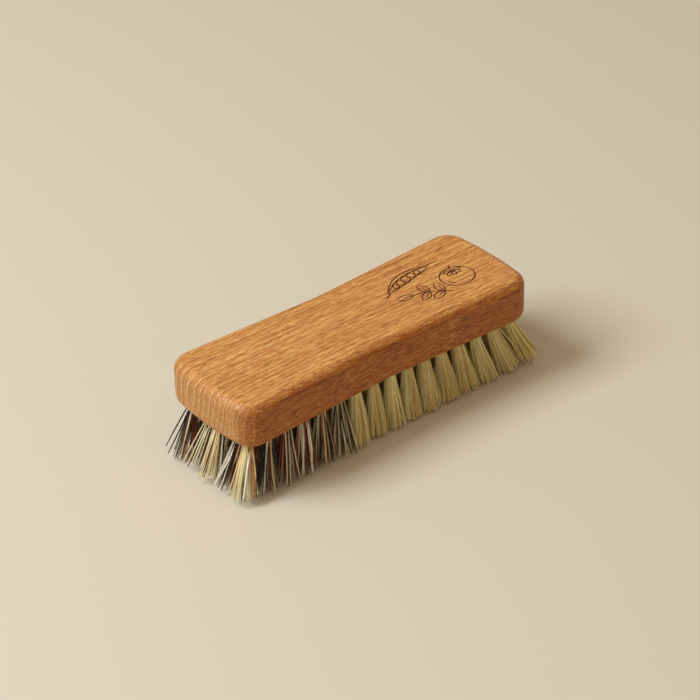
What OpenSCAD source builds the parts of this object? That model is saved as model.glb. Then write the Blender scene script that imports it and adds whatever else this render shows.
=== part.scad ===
// Vegetable brush: a waisted, rounded hardwood block with two kinds of bristle.
// Tufts of stiff union mix fill one end and tufts of softer tampico fill the rest.
// Each tuft is a bundle of fibre, folded over a flat anchor wire and driven into a blind hole.
// The brush stands on its bristle tips at z = 0, and X runs along the block.

/* [Wooden block] */
// Length of the block, over the crowned ends
block_length = 135; // [125:1:150]
// Width of the block near its two ends, where it is widest
block_width = 46.8; // [44:0.2:54]
// Height of the block
block_height = 18.3; // [17:0.1:24]
// How far each flank is drawn in at the waist
waist_depth = 2.4; // [0.4:0.1:4]
// Half length of the bend where the straight flanks meet at the waist
waist_blend = 5; // [3:0.5:20]
// How far the middle of each end stands out beyond its corners
end_crown = 2; // [0.5:0.1:4]
// Radius of the corners, seen from above
corner_radius = 8.5; // [8:0.5:13]
// Radius of the rounded edge round the top
top_edge_radius = 4; // [3:0.5:7.5]
// Radius of the rounded edge round the underside
bottom_edge_radius = 4.8; // [1:0.2:6]

/* [Tuft holes] */
// Diameter of the holes that the tufts sit in
hole_diameter = 4; // [3.6:0.1:4.4]
// Depth of the holes along their own axis
hole_depth = 12; // [9:0.5:14]
// From the end of the block to the outermost hole centres
end_margin = 7.5; // [6.5:0.5:9]
// From the widest part of the flank to the outermost hole centres
side_margin = 7.6; // [7.2:0.1:9]

/* [Bristles] */
// Height of the block's underside above the bristle tips
bristle_reach = 22.5; // [16:0.5:30]
// How far the tips of the outermost tufts lean out past their holes, lengthwise
end_splay = 8.6; // [0:0.2:10]
// How far the tips of the outermost tufts lean out past their holes, sideways
side_splay = 1.6; // [0:0.2:3]
// Gap that is left between the tips of neighbouring tufts
tip_gap = 0.5; // [0.3:0.1:1.5]
// How far the tightly packed root of a tuft stands out of its hole
root_proud = 0.5; // [0.2:0.1:1]
// Gap between a tuft's root and the wall of its hole
root_clearance = 0.1; // [0.05:0.05:0.2]
// Thickness of a strand of the stiff union mix where it leaves the root
union_thickness = 0.9; // [0.6:0.05:0.95]
// Thickness of a strand of the softer tampico where it leaves the root
tampico_thickness = 0.7; // [0.5:0.05:0.75]
// How many times thicker a strand is at its tip, where its fibres have spread
tip_fullness = 1.6; // [1:0.1:1.8]

/* [Anchor wires] */
// Height of the flat wire, along the hole
anchor_width = 1.8; // [1.4:0.1:2.4]
// Thickness of the flat wire
anchor_thickness = 0.3; // [0.2:0.05:0.5]
// Fold of fibre between the wire and the blind end of the hole
anchor_fold = 1.2; // [0.8:0.1:2]
// Gap between the wire and what it sits in
anchor_clearance = 0.1; // [0.05:0.05:0.2]

/* [Hidden] */
// Tuft columns along the block, one node each, counted from the stiff end
columns = 16;
// Columns that are filled with union mix
union_columns = 6;
// Rows of tufts across the block
rows = 5;

function two_digits(n) = n < 10 ? str("0", n) : str(n);
function is_union(column) = column <= union_columns;
function tuft_node(column) = str(is_union(column) ? "union_tufts_" : "tampico_tufts_", two_digits(column));
function anchor_node(column) = str("anchor_wires_", two_digits(column));

wood_colour = [0.80, 0.56, 0.33];
union_colour = [0.55, 0.44, 0.32];
tampico_colour = [0.82, 0.75, 0.50];
wire_colour = [0.72, 0.73, 0.75];

block_bottom = bristle_reach;
block_top = block_bottom + block_height;
half_length = block_length / 2;
half_width = block_width / 2;

// Tuft grid: alternate rows are set half a pitch along
column_pitch = (block_length - 2 * end_margin) / (columns - 1);
row_pitch = (block_width - 2 * side_margin) / (rows - 1);
end_column_x = column_pitch * (columns - 1) / 2;
side_row_y = row_pitch * (rows - 1) / 2;
nearest_tuft = min(column_pitch, norm([column_pitch / 2, row_pitch]));
tip_radius = (nearest_tuft - tip_gap) / 2;

hole_radius = hole_diameter / 2;
root_radius = hole_radius - root_clearance;
// Strands reach this far into the root, so that each tuft is one solid
root_overlap = 1.5;
// They leave through its end face, and this keeps them clear of its wall
root_inset = 0.3;
// Turn from one tuft to the next, so that no two neighbours look alike
tuft_turn = 137.5;

// Steps round the block's outline and over its rounded edges
flank_steps = 28;
corner_steps = 10;
crown_steps = 4;
top_edge_steps = 8;
bottom_edge_steps = 6;

// Half width of the block at x: two straight flanks that meet in a smooth bend at the waist
function bend(x) = norm([x, waist_blend]);
bend_range = bend(half_length - corner_radius) - waist_blend;
function flank_y(x) = half_width - waist_depth * (1 - (bend(x) - waist_blend) / bend_range);
function flank_slope(x) = waist_depth * x / bend(x) / bend_range;
// Where the crowned end stands at y
function crown_x(y) = half_length - end_crown * pow(y / half_width, 2);
function crown_slope(y) = -2 * end_crown * y / pow(half_width, 2);

function unit(v) = v / norm(v);
function flank_normal(x) = unit([-flank_slope(x), 1]);
function crown_normal(y) = unit([1, -crown_slope(y)]);

// The corner arc touches the flank at x = feet[0] and the end at y = feet[1], found by repeated steps
function corner_centre(feet) = [
    crown_x(feet[1]) - corner_radius * crown_normal(feet[1])[0],
    flank_y(feet[0]) - corner_radius * flank_normal(feet[0])[1]
];
function corner_feet(feet, steps) = steps == 0 ? feet : corner_feet(
    corner_centre(feet) + corner_radius * [flank_normal(feet[0])[0], crown_normal(feet[1])[1]],
    steps - 1
);
feet = corner_feet([half_length - corner_radius, half_width - corner_radius], 8);
arc_start = atan2(crown_normal(feet[1])[1], crown_normal(feet[1])[0]);
arc_end = atan2(flank_normal(feet[0])[1], flank_normal(feet[0])[0]);

// One quarter of the outline as pairs of a point and its outward normal, from the end to the waist
crown_quarter = [
    for (i = [0:crown_steps - 1]) let (y = feet[1] * i / crown_steps) [[crown_x(y), y], crown_normal(y)]
];
corner_quarter = [
    for (i = [0:corner_steps - 1])
        let (a = arc_start + (arc_end - arc_start) * i / corner_steps, n = [cos(a), sin(a)])
            [corner_centre(feet) + corner_radius * n, n]
];
flank_quarter = [
    for (i = [0:flank_steps / 2])
        let (x = feet[0] * (1 - 2 * i / flank_steps)) [[x, flank_y(x)], flank_normal(x)]
];
quarter = concat(crown_quarter, corner_quarter, flank_quarter);
function flipped(pairs, across, along) = [
    for (i = [len(pairs) - 1:-1:0]) [for (v = pairs[i]) [v[0] * across, v[1] * along]]
];
function without_first(pairs) = [for (i = [1:len(pairs) - 1]) pairs[i]];
// The half on the +Y side, both ends included, and then the whole ring
half_ring = concat(quarter, without_first(flipped(quarter, -1, 1)));
far_side = without_first(flipped(half_ring, 1, -1));
ring = concat(half_ring, [for (i = [0:len(far_side) - 2]) far_side[i]]);

// Levels of the block, as pairs of inset and height, from the underside up
levels = concat(
    [for (i = [0:bottom_edge_steps])
        let (a = 90 * i / bottom_edge_steps)
            [bottom_edge_radius * (1 - sin(a)), block_bottom + bottom_edge_radius * (1 - cos(a))]],
    [for (i = [0:top_edge_steps])
        let (a = 90 * i / top_edge_steps)
            [top_edge_radius * (1 - cos(a)), block_top - top_edge_radius * (1 - sin(a))]]
);

// Places of the tufts of one column, at the underside of the block: three rows on the column's own
// line and, past the first column, two rows half a pitch before it
function column_x(column) = (column - 1) * column_pitch - end_column_x;
function column_tufts(column) = [
    for (row = [0:rows - 1])
        let (set_back = row % 2 == 1)
            if (!set_back || column > 1)
                [column_x(column) - (set_back ? column_pitch / 2 : 0), row * row_pitch - side_row_y]
];
// How far a tuft's tip leans out from its hole: the lean grows fast towards the ends
function lean(place) = [
    end_splay * place[0] * abs(place[0]) / pow(end_column_x, 2),
    side_splay * place[1] / side_row_y
];

// Stands its children on a tuft's axis, with +Z running up into the block from its underside
module along_tuft(place) {
    out = lean(place);
    heading = atan2(-out[1], -out[0]);
    translate([place[0], place[1], block_bottom])
        rotate([0, atan2(norm(out), bristle_reach), heading])
            rotate([0, 0, -heading])
                children();
}

module block() {
    points = [
        for (level = levels) for (pair = ring)
            let (p = pair[0] - level[0] * pair[1]) [p[0], p[1], level[1]]
    ];
    n = len(ring);
    top = n * (len(levels) - 1);
    sides = [
        for (k = [0:len(levels) - 2]) for (i = [0:n - 1])
            let (a = k * n + i, b = k * n + (i + 1) % n)
                each [[a, a + n, b + n], [a, b + n, b]]
    ];
    // The flat faces are strips of triangles between the two flanks
    caps = [
        for (i = [0:n / 2 - 1])
            let (a = i, b = i + 1, c = (n - b) % n, d = (n - a) % n)
                each [
                    if (a != d) [a, b, d],
                    if (b != c) [b, c, d],
                    if (a != d) [top + a, top + d, top + b],
                    if (b != c) [top + b, top + d, top + c]
                ]
    ];
    color(wood_colour)
        difference() {
            polyhedron(points, concat(sides, caps));
            for (column = [1:columns])
                for (place = column_tufts(column))
                    along_tuft(place)
                        translate([0, 0, -hole_depth])
                            cylinder(h = 2 * hole_depth, r = hole_radius, $fn = 32);
        }
}

// Middle to corner of a strand's square section
function corner_reach(thickness) = thickness / sqrt(2);

// One strand, from its place in the tuft's root to a tip cut flat at z = 0
module strand(root, tip, turn, thickness) {
    corners = [for (i = [0:3]) corner_reach(thickness) * [cos(turn + 45 + 90 * i), sin(turn + 45 + 90 * i)]];
    points = concat(
        [for (c = corners) [tip[0] + tip_fullness * c[0], tip[1] + tip_fullness * c[1], 0]],
        [for (c = corners) [root[0] + c[0], root[1] + c[1], block_bottom + root_overlap]]
    );
    sides = [for (i = [0:3]) let (j = (i + 1) % 4) each [[i, i + 4, j + 4], [i, j + 4, j]]];
    polyhedron(points, concat(sides, [[0, 1, 2], [0, 2, 3], [4, 6, 5], [4, 7, 6]]));
}

// A packed root with one strand in its middle and a ring of strands that spread towards their tips
module tuft(place, ring_strands, thickness, turn) {
    out = lean(place);
    root_centre = place - out * root_overlap / bristle_reach;
    tip_centre = place + out;
    root_ring = root_radius - root_inset - corner_reach(thickness);
    tip_ring = tip_radius - tip_fullness * corner_reach(thickness);
    slot = [
        anchor_thickness + 2 * anchor_clearance,
        hole_diameter,
        anchor_width + 2 * anchor_clearance
    ];
    difference() {
        along_tuft(place)
            translate([0, 0, -root_proud])
                cylinder(h = hole_depth + root_proud - root_clearance, r = root_radius, $fn = 32);
        along_tuft(place)
            translate([0, 0, anchor_z()])
                cube(slot, center = true);
    }
    strand(root_centre, tip_centre, turn, thickness);
    for (i = [0:ring_strands - 1])
        let (a = turn + 360 * i / ring_strands, side = [cos(a), sin(a)])
            strand(root_centre + root_ring * side, tip_centre + tip_ring * side, a, thickness);
}

module tuft_column(column) {
    places = column_tufts(column);
    color(is_union(column) ? union_colour : tampico_colour)
        for (i = [0:len(places) - 1])
            tuft(
                places[i],
                is_union(column) ? 4 : 6,
                is_union(column) ? union_thickness : tampico_thickness,
                tuft_turn * (column * rows + i)
            );
}

// Height of the wire's middle above the underside, along the hole
function anchor_z() = hole_depth - root_clearance - anchor_fold - anchor_width / 2;

module anchor_wires(column) {
    length = 2 * sqrt(pow(hole_radius, 2) - pow(anchor_thickness / 2, 2)) - 2 * anchor_clearance;
    color(wire_colour)
        for (place = column_tufts(column))
            along_tuft(place)
                translate([0, 0, anchor_z()])
                    cube([anchor_thickness, length, anchor_width], center = true);
}

block();
for (column = [1:columns]) {
    tuft_column(column);
    anchor_wires(column);
}
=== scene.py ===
"""A hand-held vegetable brush: a block of oiled beech with tufts of union mix and of tampico.

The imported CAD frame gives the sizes. Each column of tufts becomes a piece with every fibre folded
over its anchor wire, and the block becomes a finer shell with its holes and an engraved drawing.
"""

import math

import bpy
import numpy as np
from mathutils import Matrix, Vector, geometry


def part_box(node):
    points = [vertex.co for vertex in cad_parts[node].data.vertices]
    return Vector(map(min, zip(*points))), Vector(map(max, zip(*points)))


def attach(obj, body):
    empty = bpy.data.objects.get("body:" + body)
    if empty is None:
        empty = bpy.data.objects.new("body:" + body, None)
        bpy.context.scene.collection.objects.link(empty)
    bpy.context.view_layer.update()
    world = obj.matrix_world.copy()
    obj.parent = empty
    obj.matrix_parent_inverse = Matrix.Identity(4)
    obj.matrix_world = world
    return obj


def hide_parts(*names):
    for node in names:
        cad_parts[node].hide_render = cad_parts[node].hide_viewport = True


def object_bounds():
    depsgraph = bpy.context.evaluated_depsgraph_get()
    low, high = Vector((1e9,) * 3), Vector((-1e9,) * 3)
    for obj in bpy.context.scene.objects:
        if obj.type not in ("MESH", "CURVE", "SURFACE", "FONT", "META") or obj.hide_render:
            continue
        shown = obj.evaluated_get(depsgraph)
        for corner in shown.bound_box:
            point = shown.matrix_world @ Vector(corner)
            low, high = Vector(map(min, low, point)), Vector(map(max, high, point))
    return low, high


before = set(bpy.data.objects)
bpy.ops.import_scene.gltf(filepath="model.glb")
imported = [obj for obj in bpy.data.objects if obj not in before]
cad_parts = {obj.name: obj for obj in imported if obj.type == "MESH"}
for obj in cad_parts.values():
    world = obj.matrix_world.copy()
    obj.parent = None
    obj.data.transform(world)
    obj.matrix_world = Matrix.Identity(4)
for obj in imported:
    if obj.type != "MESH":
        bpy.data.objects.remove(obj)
cad_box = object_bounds()

MM = 0.001
GOLDEN_ANGLE = math.pi * (3 - math.sqrt(5))

# Sizes of the block, read from the frame
BLOCK_LOW, BLOCK_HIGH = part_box("block")
HALF_LENGTH = BLOCK_HIGH.x
HALF_WIDTH = BLOCK_HIGH.y
UNDERSIDE = BLOCK_LOW.z
TOP = BLOCK_HIGH.z

# Sizes of the block's form that a box doesn't give
WAIST_DEPTH = 2.4 * MM
WAIST_BLEND = 5 * MM
END_CROWN = 2 * MM
CORNER_RADIUS = 8.5 * MM
TOP_EDGE_RADIUS = 4 * MM
BOTTOM_EDGE_RADIUS = 4.8 * MM
# An edge that bends by less than this is shaded smooth
SHARP_ANGLE = math.radians(24)

# Tuft grid: alternate rows are set half a pitch along
UNION_NODES = sorted(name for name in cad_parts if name.startswith("union_tufts_"))
TAMPICO_NODES = sorted(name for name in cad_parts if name.startswith("tampico_tufts_"))
COLUMNS = len(UNION_NODES) + len(TAMPICO_NODES)
ROWS = 5
END_MARGIN = 7.5 * MM
SIDE_MARGIN = 7.6 * MM
END_COLUMN_X = HALF_LENGTH - END_MARGIN
SIDE_ROW_Y = HALF_WIDTH - SIDE_MARGIN
COLUMN_PITCH = 2 * END_COLUMN_X / (COLUMNS - 1)
ROW_PITCH = 2 * SIDE_ROW_Y / (ROWS - 1)
HOLE_RADIUS = 2 * MM
HOLE_DEPTH = 12 * MM
# How far a hole of the end column, and of a side row, leans out by the time it would reach the floor
HOLE_END_LEAN = 8.6 * MM
HOLE_SIDE_LEAN = 1.6 * MM

# Folds of the fibres, with heights from the mouth of the hole
ROOT_RADIUS = 1.75 * MM
WIRE_HEIGHT = 9.8 * MM
FOLD_LOW = 10.9 * MM
FOLD_HIGH = 11.7 * MM


# Shapes of the block

def bend(x):
    """The smooth bend of the flanks at the waist."""
    return math.hypot(x, WAIST_BLEND)


BEND_RANGE = bend(HALF_LENGTH - CORNER_RADIUS) - WAIST_BLEND


def flank_y(x):
    """Half the block's width at x."""
    return HALF_WIDTH - WAIST_DEPTH * (1 - (bend(x) - WAIST_BLEND) / BEND_RANGE)


def flank_normal(x):
    """Outward direction of the flank at x."""
    slope = WAIST_DEPTH * x / bend(x) / BEND_RANGE
    return np.array([-slope, 1]) / math.hypot(slope, 1)


def crown_x(y):
    """Half the block's length at y."""
    return HALF_LENGTH - END_CROWN * (y / HALF_WIDTH) ** 2


def crown_normal(y):
    """Outward direction of the crowned end at y."""
    slope = -2 * END_CROWN * y / HALF_WIDTH**2
    return np.array([1, -slope]) / math.hypot(slope, 1)


def corner(rounds=8):
    """Centre of the corner's arc and the x and y at which it meets the flank and the end.

    Each round comes closer to the arc that touches both.
    """
    foot_x, foot_y = HALF_LENGTH - CORNER_RADIUS, HALF_WIDTH - CORNER_RADIUS
    for _ in range(rounds):
        centre = np.array([
            crown_x(foot_y) - CORNER_RADIUS * crown_normal(foot_y)[0],
            flank_y(foot_x) - CORNER_RADIUS * flank_normal(foot_x)[1],
        ])
        foot_x = centre[0] + CORNER_RADIUS * flank_normal(foot_x)[0]
        foot_y = centre[1] + CORNER_RADIUS * crown_normal(foot_y)[1]
    return centre, foot_x, foot_y


def outline(crown_steps=8, corner_steps=20, flank_steps=30):
    """The block's outline from above, as points and outward normals, anticlockwise."""
    centre, foot_x, foot_y = corner()
    first, last = crown_normal(foot_y), flank_normal(foot_x)
    start, end = math.atan2(first[1], first[0]), math.atan2(last[1], last[0])
    points, normals = [], []
    for y in np.linspace(0, foot_y, crown_steps, endpoint=False):
        points.append((crown_x(y), y))
        normals.append(crown_normal(y))
    for angle in np.linspace(start, end, corner_steps, endpoint=False):
        normal = np.array([math.cos(angle), math.sin(angle)])
        points.append(centre + CORNER_RADIUS * normal)
        normals.append(normal)
    for x in np.linspace(foot_x, 0, flank_steps):
        points.append((x, flank_y(x)))
        normals.append(flank_normal(x))

    def ring(quarter):
        """The whole outline from its first quarter."""
        quarter = np.array(quarter)
        half = np.concatenate([quarter, quarter[-2::-1] * (-1, 1)])
        return np.concatenate([half, half[-2:0:-1] * (1, -1)])

    return ring(points), ring(normals)


def levels(steps=12):
    """Insets and heights of the block's rings, from the underside up."""
    quarter = np.linspace(0, math.pi / 2, steps + 1)
    low, high = BOTTOM_EDGE_RADIUS, TOP_EDGE_RADIUS
    lower = [(low * (1 - math.sin(a)), UNDERSIDE + low * (1 - math.cos(a))) for a in quarter]
    upper = [(high * (1 - math.cos(a)), TOP - high * (1 - math.sin(a))) for a in quarter]
    return lower + upper


# Lines of the engraved drawing. Their points are given in millimetres from the drawing's own middle,
# and the lines are in metres.

DRAWING_PLACE = np.array([36 * MM, -1 * MM])
LINE_WIDTH = 0.5 * MM
LINE_DEPTH = 0.28 * MM
# The share of a line over which it runs out at each end, and the share of its width that is left there
RUN_OUT = 0.1
END_WIDTH = 0.5
# Depth shares: under the first a point stays level with the top, and from the second on a face is fully burnt
LEAST_DEPTH = 0.03
FULLY_BURNT = 1 / 3


def bowed(a, b, bow, steps=14):
    """A line from a to b that bows out to its left by bow."""
    a, b = np.array(a) * MM, np.array(b) * MM
    left = np.array([a[1] - b[1], b[0] - a[0]])
    middle = (a + b) / 2 + 2 * bow * MM * left / np.linalg.norm(left)
    t = np.linspace(0, 1, steps + 1)[:, None]
    return (1 - t) ** 2 * a + 2 * t * (1 - t) * middle + t**2 * b


def oval(centre, across, high, steps):
    """A closed oval."""
    angle = np.linspace(0, 2 * math.pi, steps + 1)
    x, y = across * MM * np.cos(angle), high * MM * np.sin(angle)
    return np.column_stack([centre[0] * MM + x, centre[1] * MM + y])


def leaf(base, tip, width, bow=0.0):
    """A pointed leaf with its middle vein."""
    return [
        bowed(base, tip, bow + width / 2),
        bowed(base, tip, bow - width / 2),
        bowed(base, 0.6 * np.array(tip) + 0.4 * np.array(base), bow * 0.7, steps=8),
    ]


def pea_pod():
    """An open pod with five peas, a tip and a stalk."""
    left, right = (-17.5, 3.2), (6.5, 8.4)
    lines = [bowed(left, right, 5.0), bowed(left, right, -0.8), bowed(left, right, 3.4)]
    belly = bowed(left, right, 1.3, steps=24) / MM
    for place, radius in ((6, 1.2), (9, 1.6), (12, 1.8), (15, 1.6), (18, 1.2)):
        lines.append(oval(belly[place], radius, radius, steps=20))
    lines.append(bowed(belly[22], (10.6, 8.6), 0.8, steps=8))
    lines.append(bowed(belly[2], (-19.4, 1.6), 0.3, steps=8))
    return lines


def tomato():
    """A round fruit with a star of sepals, a stalk and a line that shows its roundness."""
    middle = (9.8, -3.6)
    crown = np.array([10.6, 0.2])
    lines = [oval(middle, 6.9, 6.1, steps=36)]
    for angle in np.radians((-2, -50, -98, -146, -194)):
        reach = 4.2 * np.array([math.cos(angle), 0.75 * math.sin(angle)])
        # A sepal is a leaf without its vein
        lines += leaf(crown, crown + reach, 1.5)[:2]
    lines.append(bowed(crown, crown + (1.5, 3.6), 0.4, steps=8))
    lines.append(bowed((4.9, -3.8), (6.9, -7.2), -0.5, steps=8))
    return lines


def sprig():
    """A curved stem with pairs of leaves."""
    root, end = (2.6, -10.8), (-11.8, -3.0)
    stem = bowed(root, end, -1.4, steps=24)
    lines = [stem]
    for place, reach in ((5, 6.8), (13, 6.4)):
        foot = stem[place] / MM
        way = stem[place + 1] - stem[place]
        heading = math.atan2(way[1], way[0])
        for side in (1, -1):
            turn = heading + side * math.radians(55)
            tip = foot + reach * np.array([math.cos(turn), math.sin(turn)])
            lines += leaf(foot, tip, 3.2, bow=-0.3 * side)
    lines += leaf(stem[-3] / MM, (-17.6, -1.6), 3.2)
    return lines


def groove_edges(line):
    """Whether a groove is closed, its half widths, its depth shares, and its middle and two borders.

    An open groove gets narrow and shallow towards its ends.
    """
    closed = np.allclose(line[0], line[-1])
    if closed:
        way = np.roll(line[:-1], -1, 0) - np.roll(line[:-1], 1, 0)
        way = np.concatenate([way, way[:1]])
        taper = np.ones(len(line))
    else:
        way = np.gradient(line, axis=0)
        along = np.linspace(0, 1, len(line))
        taper = np.clip(np.minimum(along, 1 - along) / RUN_OUT, 0, 1)
    half = LINE_WIDTH / 2 * np.maximum(taper, END_WIDTH)
    side = np.column_stack([-way[:, 1], way[:, 0]]) / np.linalg.norm(way, axis=1)[:, None]
    return closed, half, taper, [line, line + side * half[:, None], line - side * half[:, None]]


def engraved_grooves():
    """The grooves of the whole drawing, in its place on the block."""
    return [groove_edges(line + DRAWING_PLACE) for line in pea_pod() + tomato() + sprig()]


def depth_share(points, grooves):
    """How deep each point lies in the nearest groove, from 0 at its border to 1 in its middle."""
    share = np.zeros(len(points))
    for _, half, taper, (line, _, _) in grooves:
        for i, (a, b) in enumerate(zip(line[:-1], line[1:])):
            t = np.clip(((points - a) @ (b - a)) / ((b - a) @ (b - a)), 0, 1)
            gap = np.linalg.norm(points - a - t[:, None] * (b - a), axis=1)
            reach = half[i] + (half[i + 1] - half[i]) * t
            depth = taper[i] + (taper[i + 1] - taper[i]) * t
            share = np.maximum(share, (1 - gap / reach) * depth)
    return share


def engraved_cap(rim, grooves):
    """Triangles that fill the flat top inside rim, with edges along the grooves.

    Returns the points, the faces, each point's index on the rim or -1, and each point's depth share.
    """
    points, edges = list(rim), [(i, (i + 1) % len(rim)) for i in range(len(rim))]
    for closed, _, _, borders in grooves:
        starts = []
        for border in borders:
            count = len(border) - closed
            starts.append(len(points))
            points += list(border[:count])
            edges += [(starts[-1] + i, starts[-1] + (i + 1) % count) for i in range(count - (not closed))]
        if not closed:
            middle, left, right = starts
            last = len(borders[0]) - 1
            edges += [(left, middle), (middle, right)]
            edges += [(left + last, middle + last), (middle + last, right + last)]
    found, _, faces, sources, _, _ = geometry.delaunay_2d_cdt(
        [Vector(p / MM) for p in points], edges, [], 1, 1e-5
    )
    flat = np.array(found) * MM
    rim_index = [min((s for s in source if s < len(rim)), default=-1) for source in sources]
    return flat, faces, rim_index, depth_share(flat, grooves)


def tuft_places(column):
    """Rows and hole centres of one column on the underside: every other row is set back half a pitch."""
    x = column * COLUMN_PITCH - END_COLUMN_X
    places = []
    for row in range(ROWS):
        set_back = row % 2 == 1
        if column > 0 or not set_back:
            places.append((row, np.array([x - set_back * COLUMN_PITCH / 2, row * ROW_PITCH - SIDE_ROW_Y])))
    return places


def hole_axis(place):
    """Direction of a hole, up into the block. The holes are drilled so that the tufts fan outwards."""
    out = np.array([
        HOLE_END_LEAN * place[0] * abs(place[0]) / END_COLUMN_X**2,
        HOLE_SIDE_LEAN * place[1] / SIDE_ROW_Y,
    ])
    axis = np.array([-out[0], -out[1], UNDERSIDE])
    return axis / np.linalg.norm(axis)


def new_object(name, vertices, faces):
    """A mesh object in the scene."""
    mesh = bpy.data.meshes.new(name)
    mesh.from_pydata([tuple(v) for v in vertices], [], faces)
    mesh.update()
    obj = bpy.data.objects.new(name, mesh)
    bpy.context.scene.collection.objects.link(obj)
    return obj


def hole_cutters(sides=40):
    """One mesh with a closed cylinder for each hole."""
    vertices, faces = [], []
    for column in range(COLUMNS):
        for _, place in tuft_places(column):
            axis = hole_axis(place)
            across = np.cross((0, 1, 0), axis)
            across /= np.linalg.norm(across)
            along = np.cross(axis, across)
            start = np.array([*place, UNDERSIDE])
            first = len(vertices)
            for height in (-HOLE_DEPTH, HOLE_DEPTH):
                for i in range(sides):
                    angle = 2 * math.pi * i / sides
                    rim = HOLE_RADIUS * (math.cos(angle) * across + math.sin(angle) * along)
                    vertices.append(start + axis * height + rim)
            low, high = [first + i for i in range(sides)], [first + sides + i for i in range(sides)]
            faces += [tuple(reversed(low)), tuple(high)]
            for i in range(sides):
                j = (i + 1) % sides
                faces.append((low[i], low[j], high[j], high[i]))
    return new_object("hole_cutters", vertices, faces)


def make_block():
    """The wooden block with its rounded edges, its holes and the engraved top."""
    points, normals = outline()
    rings = [np.column_stack([points - inset * normals, np.full(len(points), z)]) for inset, z in levels()]
    count = len(points)
    vertices = [v for ring in rings for v in ring]
    faces = [tuple(reversed(range(count)))]
    for k in range(len(rings) - 1):
        for i in range(count):
            j = (i + 1) % count
            faces.append((k * count + i, k * count + j, (k + 1) * count + j, (k + 1) * count + i))
    rim_start = count * (len(rings) - 1)
    grooves = engraved_grooves()
    flat, cap, rim_index, share = engraved_cap(rings[-1][:, :2], grooves)
    new_index = []
    for place, rim, depth in zip(flat, rim_index, share):
        if rim >= 0:
            new_index.append(rim_start + rim)
        else:
            new_index.append(len(vertices))
            vertices.append(np.array([*place, TOP - LINE_DEPTH * (depth if depth > LEAST_DEPTH else 0)]))
    first_cap_face = len(faces)
    faces += [tuple(new_index[i] for i in face) for face in cap]
    block = new_object("beech_block", vertices, faces)

    burnt = np.zeros(len(faces), np.float32)
    middles = np.array([flat[list(face)].mean(0) for face in cap])
    burnt[first_cap_face:] = np.clip(depth_share(middles, grooves) / FULLY_BURNT, 0, 1)
    block.data.attributes.new("burnt", "FLOAT", "FACE").data.foreach_set("value", burnt)

    cutters = hole_cutters()
    holes = block.modifiers.new("holes", "BOOLEAN")
    holes.operation = "DIFFERENCE"
    holes.solver = "EXACT"
    holes.object = cutters
    apply_modifiers(block)
    bpy.data.objects.remove(cutters)
    smooth_by_angle(block.data, SHARP_ANGLE)
    even = block.modifiers.new("even_shading", "WEIGHTED_NORMAL")
    even.keep_sharp = True
    return block


def apply_modifiers(obj):
    """Turns what the modifiers make into the object's own mesh."""
    made = obj.evaluated_get(bpy.context.evaluated_depsgraph_get())
    old = obj.data
    obj.data = bpy.data.meshes.new_from_object(made)
    obj.modifiers.clear()
    bpy.data.meshes.remove(old)


def smooth_by_angle(mesh, limit):
    """Smooth shading, with every edge past the limit kept sharp."""
    mesh.shade_smooth()
    mesh.set_sharp_from_angle(angle=limit)


# Fibres

REACH_LIMIT_X = cad_box[1].x
REACH_LIMIT_Y = cad_box[1].y
# What the widest fibre needs inside that limit, in usual radii
EDGE_ROOM = 1.4
# Power of the spread over the hole: under 0.5 the fibres crowd towards its rim
HOLE_SPREAD = 0.42
# Least distance of a fibre from the plane of the anchor wire, and random shift of its second leg
MIDDLE_GAP = 0.02 * MM
LEG_JITTER = 0.05 * MM
# Share of the extra length of a leaning fibre by which its tip is lifted
LEAN_LIFT = 0.6
# Extra splay of the end tufts that are set back, as a share of the pitch
SET_BACK_SPLAY = 0.45
# The furthest that a fibre ends from the middle of its tuft, as a share of tip_radius
FURTHEST_TIP = 1.22
# How much shorter a stray may be, and how many times more it bends
STRAY_SHORT = 3 * MM
STRAY_BEND = 4
# Share by which a fibre is thinner at its very tip, and the power by which it gets there
TIP_TAPER = 0.4
TAPER_POWER = 4


def tuft_lean(place, kind):
    """How far the middle of a tuft's tips lies from its hole."""
    out = kind["end_lean"][0 if place[0] < 0 else 1] * (place[0] / END_COLUMN_X) ** 2
    # The end tufts of the rows that are set back splay out almost as far as their neighbours
    if math.isclose(abs(place[0]), END_COLUMN_X - COLUMN_PITCH / 2):
        out += SET_BACK_SPLAY * COLUMN_PITCH
    return np.array([math.copysign(out, place[0]), kind["side_lean"] * place[1] / SIDE_ROW_Y])


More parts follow.
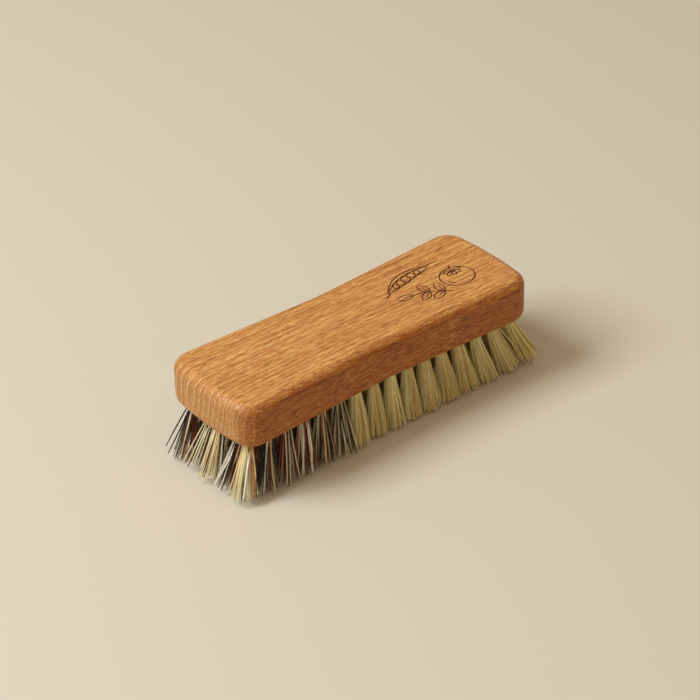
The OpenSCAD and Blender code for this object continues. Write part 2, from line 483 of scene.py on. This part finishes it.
def folded_fibres(place, kind, rng):
    """Paths of a tuft's fibres: each runs from tip to tip, over the anchor wire.

    Returns the paths, how far each point is along the way from the hole to a tip, and each fibre's place
    in the hole.
    """
    count = kind["fibres"]
    order = np.arange(count)
    radius = ROOT_RADIUS * ((order + 0.5) / count) ** HOLE_SPREAD
    angle = order * GOLDEN_ANGLE + rng.uniform(0, 2 * math.pi)
    disk = np.column_stack([radius * np.cos(angle), radius * np.sin(angle)])
    disk = disk[disk[:, 0] > MIDDLE_GAP]
    axis = hole_axis(place)
    mouth = np.array([*place, UNDERSIDE])
    lean = tuft_lean(place, kind)
    steps = np.array(kind["steps"])

    def leg_paths(roots):
        """Paths of the legs that leave the hole at roots, down to their tips."""
        tips = roots / ROOT_RADIUS * kind["tip_radius"]
        tips *= 1 + rng.normal(0, kind["spread"], (len(roots), 1))
        tips += rng.normal(0, kind["scatter"], tips.shape)
        # Fibres cling together in locks towards their tips
        heads = rng.choice(len(roots), kind["locks"], replace=False)
        lock = np.argmin(np.linalg.norm(tips[:, None] - tips[heads][None], axis=2), 1)
        # Each lock ends in a point
        short = kind["point"] * np.linalg.norm(tips[heads][lock] - tips, axis=1)
        short += rng.uniform(0, kind["lock_step"], kind["locks"])[lock]
        short += np.abs(rng.normal(0, kind["raggedness"], len(roots)))
        cling = kind["cling"] * rng.uniform(0.2, 1, (len(roots), 1))
        tips += (tips[heads][lock] - tips) * cling
        stray = rng.random(len(roots)) < kind["strays"]
        tips[stray] += rng.normal(0, kind["stray_reach"], (stray.sum(), 2))
        # No fibre ends far from its tuft
        far = np.linalg.norm(tips, axis=1, keepdims=True)
        tips *= np.minimum(1, FURTHEST_TIP * kind["tip_radius"] / far)
        tips += lean
        # A fibre that leans out ends higher, since all were cut to one length
        short += LEAN_LIFT * (np.hypot(np.linalg.norm(tips - roots, axis=1), UNDERSIDE) - UNDERSIDE)
        short[stray] += rng.uniform(0, STRAY_SHORT, stray.sum())
        bow = rng.normal(0, kind["bow"], (len(roots), 2)) * np.where(stray, STRAY_BEND, 1)[:, None]
        path = np.empty((len(roots), len(steps), 3))
        for i, t in enumerate(steps):
            share = t ** kind["flare"]
            path[:, i, :2] = place + roots * (1 - share) + tips * share + bow * math.sin(math.pi * t)
            path[:, i, 2] = UNDERSIDE - t * (UNDERSIDE - short)
        return path

    legs = [disk, disk * (-1, 1) + rng.normal(0, LEG_JITTER, disk.shape)]
    down = [leg_paths(roots) for roots in legs]
    inside = [
        np.column_stack([roots, np.zeros(len(roots))]) + mouth + axis * WIRE_HEIGHT for roots in legs
    ]
    over = FOLD_LOW + (FOLD_HIGH - FOLD_LOW) * np.linalg.norm(disk, axis=1) / ROOT_RADIUS
    fold = mouth + axis * over[:, None]
    fold[:, 1] += disk[:, 1]
    paths = np.concatenate(
        [down[0][:, ::-1], inside[0][:, None], fold[:, None], inside[1][:, None], down[1]], axis=1
    )
    along = np.concatenate([steps[::-1], [0, 0, 0], steps])
    return paths, along, disk


def fibre_tubes(name, paths, along, radius, sides, colours):
    """One mesh of closed tubes along the paths. It keeps each fibre's colour, and along at each point."""
    fibres, rings, _ = paths.shape
    tangent = np.gradient(paths, axis=1)
    tangent /= np.linalg.norm(tangent, axis=2, keepdims=True)
    # A fibre can run straight along Y, and this is slightly off it so that their cross product isn't zero
    almost_y = np.array([0, 1, 0.001])
    first = np.cross(almost_y, tangent)
    first /= np.linalg.norm(first, axis=2, keepdims=True)
    second = np.cross(tangent, first)
    angle = 2 * math.pi * np.arange(sides) / sides
    reach = (radius[:, None] * (1 - TIP_TAPER * along[None] ** TAPER_POWER))[:, :, None, None]
    vertices = paths[:, :, None] + reach * (
        np.cos(angle)[None, None, :, None] * first[:, :, None]
        + np.sin(angle)[None, None, :, None] * second[:, :, None]
    )
    # The tips are trimmed level where the brush stands
    vertices[..., 2] = np.maximum(vertices[..., 2], 0)
    ring, i = np.meshgrid(np.arange(rings - 1) * sides, np.arange(sides), indexing="ij")
    j = (i + 1) % sides
    quads = np.stack([ring + i, ring + sides + i, ring + sides + j, ring + j], -1).reshape(-1, 4)
    starts = np.arange(fibres) * rings * sides
    faces = (starts[:, None, None] + quads[None]).reshape(-1, 4).tolist()
    near = np.arange(sides)
    far = (rings - 1) * sides + np.arange(sides)[::-1]
    faces += (starts[:, None] + near[None]).tolist() + (starts[:, None] + far[None]).tolist()
    obj = new_object(name, vertices.reshape(-1, 3), faces)
    shades = np.ones((fibres, rings, sides, 4), np.float32)
    shades[..., :3] = colours[:, None, None]
    attribute = obj.data.attributes.new("fibre_colour", "FLOAT_COLOR", "POINT")
    attribute.data.foreach_set("color", shades.ravel())
    share = np.broadcast_to(along[None, :, None], (fibres, rings, sides)).astype(np.float32)
    attribute = obj.data.attributes.new("along", "FLOAT", "POINT")
    attribute.data.foreach_set("value", share.ravel())
    return obj


def linear(*srgb):
    """Linear colour of an sRGB colour in 0 to 255."""
    c = np.array(srgb) / 255
    return np.where(c <= 0.04045, c / 12.92, ((c + 0.055) / 1.055) ** 2.4)


# Kinds of fibre: colour, share of the mix, and thickness beside the others
UNION_MIX = [
    (linear(252, 244, 220), 0.3, 1.15),
    (linear(212, 190, 144), 0.1, 1.0),
    (linear(255, 231, 178), 0.05, 0.8),
    (linear(22, 14, 12), 0.28, 1.0),
    (linear(112, 44, 20), 0.21, 0.95),
    (linear(188, 100, 42), 0.06, 0.85),
]
# Place of straw-coloured fibre in that mix
STRAW = 2
TAMPICO_MIX = [
    (linear(254, 232, 160), 0.52, 1.0),
    (linear(255, 243, 190), 0.32, 1.1),
    (linear(232, 192, 112), 0.16, 0.9),
]
# Tufts of the stiff end, by column and row, in which a bunch of straw-coloured fibre lies together
STRAW_TUFTS = {(0, 0), (0, 2), (1, 3), (3, 1), (5, 2)}
# The bunch lies towards the ends of the brush, turned at random by up to STRAW_TURN. The cosine of its
# half angle is STRAW_WEDGE, and STRAW_SHARE of it is straw.
STRAW_TURN = 0.5
STRAW_WEDGE = 0.55
STRAW_SHARE = 0.85
# Random range of a fibre's brightness and of its thickness, and the brightest that a colour may be
SHADE_RANGE = (0.74, 1.2)
WIDTH_RANGE = (0.75, 1.25)
BRIGHTEST = 0.95

# What makes the fibres of a kind:
# "fibres" is the number of ends in a tuft, and "radius" and "sides" are those of one fibre.
# "tip_radius" is how wide the ends fan out, "spread" its random share, and "scatter" a random shift.
# The ends gather into as many "locks", and move up to "cling" of the way to the middle of their own.
# An end is cut short at random by up to "lock_step" with its lock and by about "raggedness" alone, and
# by "point" times its distance from the middle of its lock.
# "strays" is the share of ends that stray, by "stray_reach". "bow" is how far a fibre bends sideways,
# and "flare" is the power by which it fans out.
# "end_lean" is how far a tuft at the low and the high end of X leans out, and "side_lean" one at a side.
# "steps" are the places of a fibre's rings, from the hole at 0 to the tip at 1.
UNION = {
    "mix": UNION_MIX, "fibres": 58, "radius": 0.255 * MM, "sides": 5, "locks": 12, "cling": 0.2,
    "lock_step": 1.0 * MM, "point": 0.4, "tip_radius": 4.5 * MM, "spread": 0.2, "scatter": 0.95 * MM,
    "raggedness": 0.5 * MM, "strays": 0.08, "stray_reach": 2.2 * MM, "bow": 0.14 * MM, "flare": 1.0,
    "end_lean": (5.4 * MM, 8.6 * MM), "side_lean": 2.2 * MM, "steps": [0, 0.3, 0.65, 1],
}
TAMPICO = {
    "mix": TAMPICO_MIX, "fibres": 236, "radius": 0.137 * MM, "sides": 4, "locks": 24, "cling": 0.55,
    "lock_step": 1.1 * MM, "point": 0.7, "tip_radius": 4.35 * MM, "spread": 0.12, "scatter": 0.45 * MM,
    "raggedness": 0.3 * MM, "strays": 0.05, "stray_reach": 1.8 * MM, "bow": 0.2 * MM, "flare": 1.1,
    "end_lean": (8.6 * MM, 9.2 * MM), "side_lean": 1.5 * MM, "steps": [0, 0.25, 0.55, 0.8, 1],
}


def mixed_fibres(kind, roots, straw, rng):
    """Colour and thickness of each fibre of a tuft."""
    colours, shares, widths = zip(*kind["mix"])
    picks = rng.choice(len(colours), len(roots), p=shares)
    if straw:
        towards = rng.uniform(-STRAW_TURN, STRAW_TURN)
        turn = np.arctan2(roots[:, 1], roots[:, 0]) - towards
        picks[(np.cos(turn) > STRAW_WEDGE) & (rng.random(len(roots)) < STRAW_SHARE)] = STRAW
    shade = rng.uniform(*SHADE_RANGE, (len(roots), 1))
    width = rng.uniform(*WIDTH_RANGE, len(roots))
    return np.minimum(np.array(colours)[picks] * shade, BRIGHTEST), np.array(widths)[picks] * width


def make_tufts(column, kind, rng):
    """All the tufts of one column as one piece."""
    paths, colours, widths = [], [], []
    for row, place in tuft_places(column):
        found, along, roots = folded_fibres(place, kind, rng)
        straw = kind is UNION and (column, row) in STRAW_TUFTS
        colour, width = mixed_fibres(kind, roots, straw, rng)
        paths.append(found)
        colours.append(colour)
        widths.append(width)
    paths, colours = np.concatenate(paths), np.concatenate(colours)
    radius = kind["radius"] * np.concatenate(widths)
    reach = np.array([REACH_LIMIT_X, REACH_LIMIT_Y]) - EDGE_ROOM * kind["radius"]
    paths[:, :, :2] = np.clip(paths[:, :, :2], -reach, reach)
    return fibre_tubes(f"fibres_{column + 1:02d}", paths, along, radius, kind["sides"], colours)


# Materials

def put(tree, kind, inputs=None, **settings):
    """Adds a node, with its settings and its inputs as values or as links."""
    node = tree.nodes.new(kind)
    for name, value in settings.items():
        setattr(node, name, value)
    for name, value in (inputs or {}).items():
        if isinstance(value, bpy.types.NodeSocket):
            tree.links.new(value, node.inputs[name])
        else:
            node.inputs[name].default_value = value
    return node


def new_material(name):
    """A material with its node tree and its shader."""
    material = bpy.data.materials.new(name)
    material.use_nodes = True
    return material, material.node_tree, material.node_tree.nodes["Principled BSDF"]


def calc(tree, operation, a, b=0.0):
    """The result of a sum on numbers."""
    return put(tree, "ShaderNodeMath", {0: a, 1: b}, operation=operation).outputs[0]


def map_range(tree, value, low, high, out_low=0.0, out_high=1.0):
    """The value's way from low to high, taken from out_low to out_high and held between them."""
    limits = {"Value": value, "From Min": low, "From Max": high, "To Min": out_low, "To Max": out_high}
    return put(tree, "ShaderNodeMapRange", limits).outputs[0]


def stretch(tree, place, scale):
    """Coordinates times scale, which is in waves or cells per millimetre along X, Y and Z."""
    return put(tree, "ShaderNodeVectorMath", {0: place, 1: scale}, operation="MULTIPLY").outputs[0]


def noise(tree, place, scale, detail=2.0, roughness=0.5):
    """Noise with as many waves per millimetre along X, Y and Z as scale says."""
    inputs = {"Vector": stretch(tree, place, scale), "Scale": 1.0, "Detail": detail, "Roughness": roughness}
    return put(tree, "ShaderNodeTexNoise", inputs).outputs["Fac"]


def ramp(tree, factor, *stops):
    """A colour ramp through (position, colour) stops, where a colour may be one number."""
    node = put(tree, "ShaderNodeValToRGB", {"Fac": factor})
    elements = node.color_ramp.elements
    while len(elements) < len(stops):
        elements.new(0.5)
    for element, (position, colour) in zip(elements, stops):
        element.position = position
        element.color = (*colour, 1) if np.ndim(colour) else (colour, colour, colour, 1)
    return node.outputs["Color"]


def blend(tree, kind, factor, a, b):
    """Colour b blended over colour a by factor."""
    node = put(tree, "ShaderNodeMix", data_type="RGBA", blend_type=kind)
    for socket, value in ((node.inputs["Factor"], factor), (node.inputs[6], a), (node.inputs[7], b)):
        if isinstance(value, bpy.types.NodeSocket):
            tree.links.new(value, socket)
        else:
            socket.default_value = value if np.ndim(value) == 0 else (*value, 1)
    return node.outputs[2]


def millimetres(tree):
    """The surface's own place on the brush, in millimetres."""
    own = put(tree, "ShaderNodeTexCoord").outputs["Object"]
    return put(tree, "ShaderNodeVectorMath", {0: own, "Scale": 1 / MM}, operation="SCALE").outputs[0]


# Colours of the wood. The tints are what the flanks and the ends are multiplied by; the flank tint is painted
# shade.
PALE_WOOD = linear(218, 159, 92)
DEEP_WOOD = linear(203, 140, 75)
LATE_WOOD = linear(158, 82, 36)
RING_LINE = linear(236, 184, 128)
FLECK = linear(128, 60, 26)
BURNT_WOOD = linear(96, 42, 24)
FLANK_PAINTED_SHADE = (0.645, 0.425, 0.22)
END_TINT = (0.815, 0.82, 0.87)

# Growth rings, in millimetres: how far slow and quick noise bend them, how much they lean with height,
# their number per millimetre, and how fast that grows towards the near flank
RING_SWAY = 9.0
RING_RIPPLE = 1.6
RING_LEAN = 0.1
RINGS_PER_MM = 0.4
RING_CLOSING = -0.0035


def facing_masks(tree):
    """How far the surface faces an end, and how far a flank, from 0 to 1."""
    facing = put(tree, "ShaderNodeTexCoord").outputs["Normal"]
    facing = put(tree, "ShaderNodeVectorMath", {0: facing}, operation="ABSOLUTE").outputs[0]
    to_end, to_flank, _ = put(tree, "ShaderNodeSeparateXYZ", {0: facing}).outputs
    return map_range(tree, to_end, 0.3, 0.95), map_range(tree, to_flank, 0.15, 0.95)


def growth_rings(tree, place):
    """Late wood and the pale line of the rings, which stand upright along the block."""
    _, y, z = put(tree, "ShaderNodeSeparateXYZ", {0: place}).outputs
    sway = calc(tree, "SUBTRACT", noise(tree, place, (0.011, 0.035, 0.03), 2.0), 0.5)
    ripple = calc(tree, "SUBTRACT", noise(tree, place, (0.06, 0.2, 0.07), 3.0, 0.6), 0.5)
    across = calc(tree, "ADD", y, calc(tree, "MULTIPLY", sway, RING_SWAY))
    across = calc(tree, "ADD", across, calc(tree, "MULTIPLY", ripple, RING_RIPPLE))
    across = calc(tree, "ADD", across, calc(tree, "MULTIPLY", z, RING_LEAN))
    closing = calc(tree, "MULTIPLY", calc(tree, "MULTIPLY", across, across), RING_CLOSING)
    rings = calc(tree, "FRACT", calc(tree, "ADD", calc(tree, "MULTIPLY", across, RINGS_PER_MM), closing))
    late = ramp(tree, rings, (0.0, 0.0), (0.12, 0.0), (0.45, 0.2), (0.8, 0.6), (0.95, 1.0), (1.0, 0.1))
    line = ramp(tree, rings, (0.0, 1.0), (0.06, 1.0), (0.16, 0.0), (1.0, 0.0))
    strength = ramp(tree, noise(tree, place, (0.035, 0.3, 0.3), 2.0), (0.3, 0.3), (0.62, 1.0))
    return calc(tree, "MULTIPLY", late, strength), line


def ray_flecks(tree, place):
    """Short dark flecks along the grain, in some of the cells of a pattern."""
    cells = stretch(tree, place, (0.5, 1.7, 1.7))
    spindles = put(tree, "ShaderNodeTexVoronoi", {"Vector": cells, "Scale": 1.0, "Randomness": 1.0}).outputs
    chosen = put(tree, "ShaderNodeSeparateColor", {0: spindles["Color"]}).outputs[0]
    size = ramp(tree, chosen, (0.4, 0.0), (1.0, 0.4))
    return map_range(tree, spindles["Distance"], size, 0.0)


def beech_material():
    """Oiled beech with its growth rings, streaks, fine dashes, flecks and burnt lines."""
    material, tree, shader = new_material("oiled_beech")
    shader.inputs["Specular IOR Level"].default_value = 0.3
    place = millimetres(tree)
    end, flank = facing_masks(tree)
    late, line = growth_rings(tree, place)
    flecks = ray_flecks(tree, place)
    streak = noise(tree, place, (0.055, 1.5, 1.5), 5.0, 0.7)
    dashes = noise(tree, place, (0.28, 2.8, 2.8), 2.0, 0.6)
    cloud = noise(tree, place, (0.02, 0.09, 0.09), 2.0)

    # Rings: the late wood fades on the flanks, and the pale lines show most on the ends
    wood = blend(tree, "MIX", cloud, PALE_WOOD, DEEP_WOOD)
    flank_fade = calc(tree, "SUBTRACT", 1.0, calc(tree, "MULTIPLY", flank, 0.5))
    late = calc(tree, "MULTIPLY", late, flank_fade)
    wood = blend(tree, "MIX", calc(tree, "MULTIPLY", late, 0.7), wood, LATE_WOOD)
    line_strength = calc(tree, "ADD", calc(tree, "MULTIPLY", end, 0.55), 0.4)
    wood = blend(tree, "MIX", calc(tree, "MULTIPLY", line, line_strength), wood, RING_LINE)

    # Streaks, then dashes, which show most on the flanks and least on the ends, and flecks
    wood = blend(tree, "OVERLAY", 0.66, wood, ramp(tree, streak, (0.3, 0.15), (0.7, 0.85)))
    dash_strength = calc(tree, "SUBTRACT", 0.7, calc(tree, "MULTIPLY", end, 0.45))
    dash_strength = calc(tree, "ADD", dash_strength, calc(tree, "MULTIPLY", flank, 0.25))
    wood = blend(tree, "OVERLAY", dash_strength, wood, ramp(tree, dashes, (0.32, 0.15), (0.68, 0.85)))
    wood = blend(tree, "MIX", calc(tree, "MULTIPLY", flecks, 0.75), wood, FLECK)

    # The flanks get a painted shade that darkens and reddens them, and the ends get a little darker and less
    # red
    wood = blend(tree, "MULTIPLY", flank, wood, FLANK_PAINTED_SHADE)
    wood = blend(tree, "MULTIPLY", end, wood, END_TINT)
    burnt = put(tree, "ShaderNodeAttribute", attribute_name="burnt").outputs["Fac"]
    wood = blend(tree, "MIX", burnt, wood, BURNT_WOOD)
    tree.links.new(wood, shader.inputs["Base Color"])

    # Satin gloss that follows the streaks, with dull burnt lines
    rough = map_range(tree, streak, 0.0, 1.0, 0.32, 0.52)
    rough = calc(tree, "MAXIMUM", rough, calc(tree, "MULTIPLY", burnt, 0.9))
    tree.links.new(rough, shader.inputs["Roughness"])
    height = calc(tree, "ADD", streak, calc(tree, "MULTIPLY", dashes, 0.5))
    height = calc(tree, "SUBTRACT", height, calc(tree, "MULTIPLY", flecks, 0.6))
    bump = put(tree, "ShaderNodeBump", {"Strength": 0.4, "Distance": 0.08 * MM, "Height": height})
    tree.links.new(bump.outputs[0], shader.inputs["Normal"])
    return material


def fibre_material(name, roughness, sheen, tip_colour, wear):
    """Natural fibre: its own colour, streaked along its length and paler at the trimmed tip."""
    material, tree, shader = new_material(name)
    shader.inputs["Sheen Weight"].default_value = sheen
    shader.inputs["Sheen Roughness"].default_value = 0.4
    shader.inputs["Sheen Tint"].default_value = (1.0, 0.9, 0.62, 1.0)
    place = millimetres(tree)
    own = put(tree, "ShaderNodeAttribute", attribute_name="fibre_colour").outputs["Color"]
    along = put(tree, "ShaderNodeAttribute", attribute_name="along").outputs["Fac"]
    streak = noise(tree, place, (3.0, 3.0, 0.35), 3.0, 0.6)
    colour = blend(tree, "MULTIPLY", 0.6, own, ramp(tree, streak, (0.25, 0.76), (0.58, 1.0)))
    worn = calc(tree, "MULTIPLY", calc(tree, "POWER", along, 6.0), wear)
    colour = blend(tree, "MIX", worn, colour, tip_colour)
    tree.links.new(colour, shader.inputs["Base Color"])
    rough = map_range(tree, streak, 0.0, 1.0, roughness - 0.08, roughness + 0.12)
    tree.links.new(rough, shader.inputs["Roughness"])
    return material


def steel_material():
    """Bright drawn wire with fine lines along it."""
    material, tree, shader = new_material("anchor_steel")
    shader.inputs["Metallic"].default_value = 1.0
    lines = noise(tree, millimetres(tree), (6.0, 0.4, 6.0), 2.0)
    tree.links.new(ramp(tree, lines, (0.3, 0.45), (0.7, 0.65)), shader.inputs["Base Color"])
    rough = map_range(tree, lines, 0.0, 1.0, 0.22, 0.42)
    tree.links.new(rough, shader.inputs["Roughness"])
    return material


# Floor, light and camera

FLOOR_COLOUR = linear(219, 209, 189)
FLOOR_RADIUS = 3.0


def make_floor():
    """A round pale floor that can't be seen from below."""
    angle = np.linspace(0, 2 * math.pi, 96, endpoint=False)
    ring = [(FLOOR_RADIUS * math.cos(a), FLOOR_RADIUS * math.sin(a), 0) for a in angle]
    floor = new_object("floor", ring, [tuple(range(len(ring)))])
    material, tree, shader = new_material("floor")
    shader.inputs["Roughness"].default_value = 0.85
    shader.inputs["Base Color"].default_value = (*FLOOR_COLOUR, 1)
    shader.inputs["Specular IOR Level"].default_value = 0.2
    clear = put(tree, "ShaderNodeBsdfTransparent")
    below = put(tree, "ShaderNodeNewGeometry").outputs["Backfacing"]
    shown = put(tree, "ShaderNodeMixShader", {0: below, 1: shader.outputs[0], 2: clear.outputs[0]})
    tree.links.new(shown.outputs[0], tree.nodes["Material Output"].inputs["Surface"])
    floor.data.materials.append(material)


def area_light(name, towards, distance, size, power, colour):
    """A soft light that shines at the brush from a direction. Its first side lies along the brush."""
    lamp = bpy.data.lights.new(name, "AREA")
    lamp.shape = "RECTANGLE"
    lamp.size, lamp.size_y = size
    lamp.energy = power
    lamp.color = colour
    obj = bpy.data.objects.new(name, lamp)
    way = Vector(towards).normalized()
    across = way.cross(Vector((1, 0, 0))).normalized()
    turn = Matrix((across.cross(way), across, way)).transposed().to_4x4()
    obj.matrix_world = Matrix.Translation(way * distance) @ turn
    bpy.context.scene.collection.objects.link(obj)


def light_scene():
    """A cool light from the left, a wide warm one from above, and a warm world."""
    area_light("key", towards=(-0.85, 0.36, 1.0), distance=1.6, size=(0.95, 0.65), power=23.0,
               colour=(0.84, 0.93, 1.0))
    area_light("top", towards=(-0.25, -0.1, 1.0), distance=1.5, size=(2.0, 1.6), power=5.2,
               colour=(1.0, 0.84, 0.66))
    world = bpy.data.worlds.new("studio")
    bpy.context.scene.world = world
    world.use_nodes = True
    tree = world.node_tree
    soft = tree.nodes["Background"]
    soft.inputs["Color"].default_value = (1.0, 0.8, 0.56, 1)
    soft.inputs["Strength"].default_value = 0.3
    backdrop = put(tree, "ShaderNodeBackground", {"Color": (*FLOOR_COLOUR, 1), "Strength": 1.0})
    to_camera = put(tree, "ShaderNodeLightPath").outputs["Is Camera Ray"]
    seen = put(tree, "ShaderNodeMixShader", {0: to_camera, 1: soft.outputs[0], 2: backdrop.outputs[0]})
    tree.links.new(seen.outputs[0], tree.nodes["World Output"].inputs["Surface"])


def make_camera():
    """The photograph's view: its turn and height round the brush, distance, roll and field of view."""
    turn, height, roll = math.radians(-38.83), math.radians(33.62), math.radians(-1.46)
    distance = 1082.02 * MM
    aside, above = -1.22 * MM, 3.05 * MM
    # In pixels
    image_side, focal_length = 700, 3000.0
    back = Vector((math.sin(turn) * math.cos(height), -math.cos(turn) * math.cos(height), math.sin(height)))
    level = Vector((math.cos(turn), math.sin(turn), 0))
    upright = back.cross(level)
    right = level * math.cos(roll) + upright * math.sin(roll)
    up = upright * math.cos(roll) - level * math.sin(roll)
    place = Vector((0, 0, UNDERSIDE)) + right * aside + up * above + back * distance
    camera = bpy.data.cameras.new("photo_view")
    camera.sensor_width = 36.0
    camera.lens = camera.sensor_width * focal_length / image_side
    camera.clip_start, camera.clip_end = 0.05, 20.0
    obj = bpy.data.objects.new("photo_view", camera)
    obj.matrix_world = Matrix.Translation(place) @ Matrix((right, up, back)).transposed().to_4x4()
    bpy.context.scene.collection.objects.link(obj)
    bpy.context.scene.camera = obj


# The scene

FIRST_SEED = 100

make_camera()
light_scene()
make_floor()

block = make_block()
block.data.materials.clear()
block.data.materials.append(beech_material())
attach(block, "root")
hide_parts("block")

union_material = fibre_material(
    "union_fibre", roughness=0.42, sheen=0.22, tip_colour=linear(214, 200, 166), wear=0.12
)
tampico_material = fibre_material(
    "tampico_fibre", roughness=0.46, sheen=0.4, tip_colour=linear(244, 224, 156), wear=0.35
)
for column, node in enumerate(UNION_NODES + TAMPICO_NODES):
    stiff = node in UNION_NODES
    rng = np.random.default_rng(FIRST_SEED + column)
    tufts = make_tufts(column, UNION if stiff else TAMPICO, rng)
    tufts.data.materials.append(union_material if stiff else tampico_material)
    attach(tufts, "root")
    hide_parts(node)

steel = steel_material()
for name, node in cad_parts.items():
    if name.startswith("anchor_wires_"):
        for material_slot in node.material_slots:
            material_slot.material = steel

bpy.context.scene.view_settings.view_transform = "Standard"
